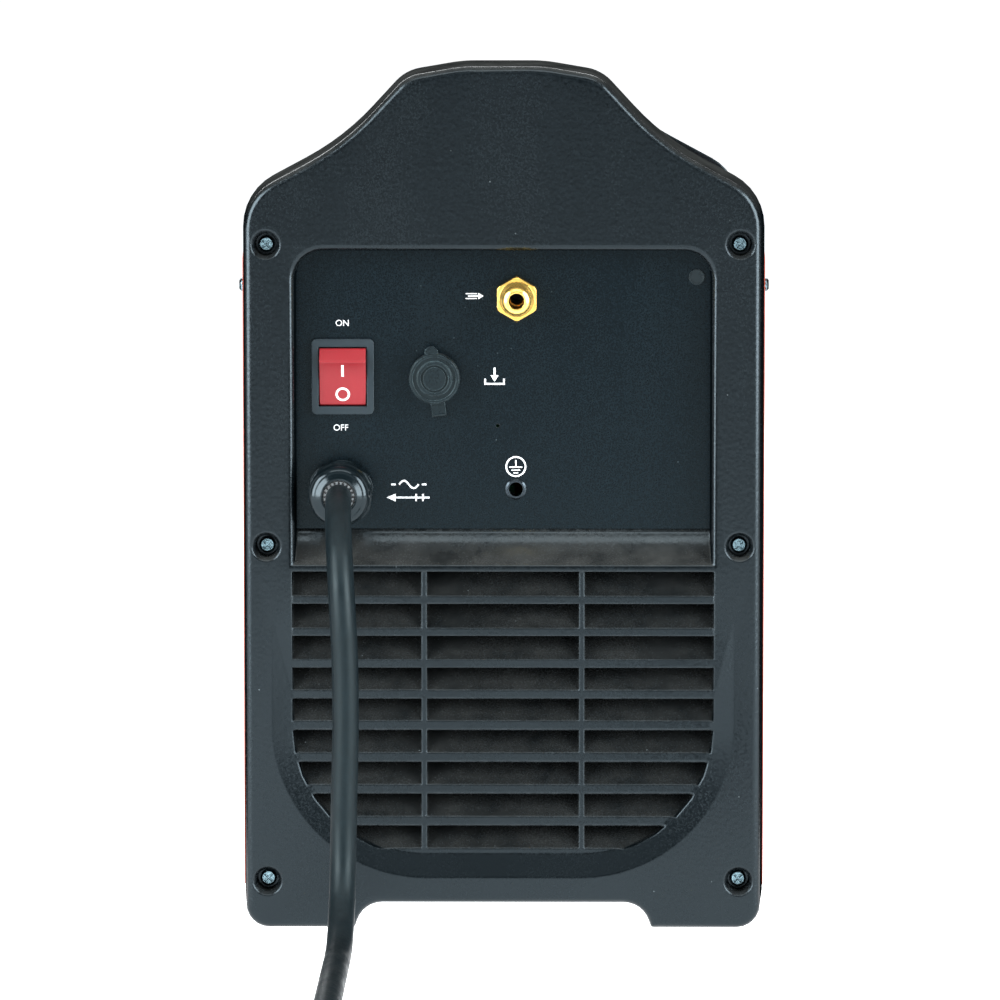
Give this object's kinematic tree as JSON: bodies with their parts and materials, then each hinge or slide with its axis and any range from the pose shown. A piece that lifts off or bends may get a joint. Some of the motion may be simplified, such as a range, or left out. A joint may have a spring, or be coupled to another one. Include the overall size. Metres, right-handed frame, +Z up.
{
  "type": "plasma cutter power unit",
  "caption": "Upright portable air plasma cutting power source with dark moulded bezels, orange sheet-metal cover, carry handle, rear rocker switch, fan grille and mains lead.",
  "frame": {"origin": "centre of the base: on the floor plane under the middle of the unit's box, the mains lead and its plug not counted", "axes": "+Z up; -Y towards the control side with the torch and work sockets; +Y towards the rear side with the mains inlet, switch and fan grille; +X to the right when facing +Y"},
  "size_m": [0.25, 0.8775, 0.3556],
  "materials": {
    "bezel_abs": "fine grained satin moulding, dark blue-grey",
    "panel_paint": "smooth dark satin powder coat",
    "cover_paint": "orange-red powder coat",
    "zinc_sheet": "zinc-plated sheet",
    "handle_plastic": "grained",
    "grip_rubber": "soft ribbed grip",
    "zinc_screw": "bluish zinc",
    "black_plastic": "satin",
    "rocker_red": "polished",
    "tinned_brass": "tinned",
    "gland_plastic": "glossy nylon",
    "seal_rubber": "matt",
    "brass": "turned",
    "steel": "bright",
    "hose_rubber": "smooth blue hose",
    "plated_zinc": "nickel plated",
    "copper_winding": "enamelled copper wire",
    "aluminium": "extruded",
    "board_green": "solder mask",
    "capacitor_sleeve": "shrink sleeve",
    "component_yellow": "tape and cast boxes",
    "ferrite": "ferrite core",
    "coil_red": "varnished",
    "overlay_film": "printed film",
    "display_red": "tinted window",
    "led_green": "tinted lens",
    "knob_plastic": "fluted",
    "button_grey": "satin",
    "button_blue": "satin",
    "lead_rubber": "satin rubber sheath",
    "plug_rubber": "moulded"
  },
  "bodies": {
    "unit": {"rear_bezel": "bezel_abs", "front_bezel": "bezel_abs", "rear_panel": "panel_paint", "front_panel": "panel_paint", "case_cover": "cover_paint", "base_plate": "zinc_sheet", "divider_plate": "zinc_sheet", "handle_bar": "handle_plastic", "handle_grip": "grip_rubber", "rear_bezel_screws": "zinc_screw", "front_bezel_screws": "zinc_screw", "case_screws": "zinc_screw", "switch_body": "black_plastic", "switch_terminals": "tinned_brass", "gland_body": "gland_plastic", "gland_locknut": "gland_plastic", "gland_nut": "gland_plastic", "gland_seal": "seal_rubber", "air_inlet": "brass", "valve_block": "brass", "valve_coil": "black_plastic", "air_hose": "hose_rubber", "remote_socket": "plated_zinc", "remote_insert": "black_plastic", "panel_nuts": "plated_zinc", "panel_plugs": "black_plastic", "earth_terminal": "plated_zinc", "fan_frame": "black_plastic", "fan_stator": "copper_winding", "heatsinks": "aluminium", "power_semiconductors": "black_plastic", "power_board": "board_green", "board_pillars": "steel", "bus_capacitors": "capacitor_sleeve", "filter_board": "board_green", "filter_choke": "copper_winding", "board_components": "component_yellow", "main_transformer": "ferrite", "output_choke": "copper_winding", "pilot_coil": "coil_red", "torch_flange": "black_plastic", "torch_connector": "brass", "work_socket": "black_plastic", "work_insert": "brass", "control_overlay": "overlay_film", "display_window": "display_red", "indicator_leds": "led_green", "potentiometer": "plated_zinc", "control_board": "board_green", "mains_lead": "lead_rubber", "mains_coil": "lead_rubber", "mains_plug": "plug_rubber"},
    "switch_rocker_body": {"switch_rocker": "rocker_red"},
    "dust_cap_body": {"dust_cap": "seal_rubber"},
    "fan_rotor_body": {"fan_rotor": "black_plastic"},
    "current_knob_body": {"current_knob": "knob_plastic"},
    "mode_button_body": {"mode_button": "button_grey"},
    "air_test_button_body": {"air_test_button": "button_blue"},
    "valve_plunger_body": {"valve_plunger": "steel"}
  },
  "joints": [
    {"name": "switch_rock", "type": "hinge", "parent": "unit", "child": "switch_rocker_body", "pos_m": [0.0658, 0.1866, 0.2264], "axis": [1, 0, 0], "range_deg": [0, 22]},
    {"name": "dust_cap_flip", "type": "hinge", "parent": "unit", "child": "dust_cap_body", "pos_m": [0.02625, 0.18725, 0.21081], "axis": [-0.9925, 0, 0.1219], "range_deg": [0, 115]},
    {"name": "fan_spin", "type": "hinge", "parent": "unit", "child": "fan_rotor_body", "pos_m": [0, 0.165, 0.0883], "axis": [0, 1, 0], "continuous": true},
    {"name": "current_knob_turn", "type": "hinge", "parent": "unit", "child": "current_knob_body", "pos_m": [-0.045, -0.19, 0.202], "axis": [0, 1, 0], "range_deg": [-135, 135]},
    {"name": "mode_button_press", "type": "slide", "parent": "unit", "child": "mode_button_body", "axis": [0, 1, 0], "range_m": [0, 0.0015], "stiffness_N_per_m": 500},
    {"name": "air_test_button_press", "type": "slide", "parent": "unit", "child": "air_test_button_body", "axis": [0, 1, 0], "range_m": [0, 0.0015], "stiffness_N_per_m": 500},
    {"name": "valve_plunger_lift", "type": "slide", "parent": "unit", "child": "valve_plunger_body", "axis": [0, 0, 1], "range_m": [0, 0.003], "stiffness_N_per_m": 300}
  ]
}
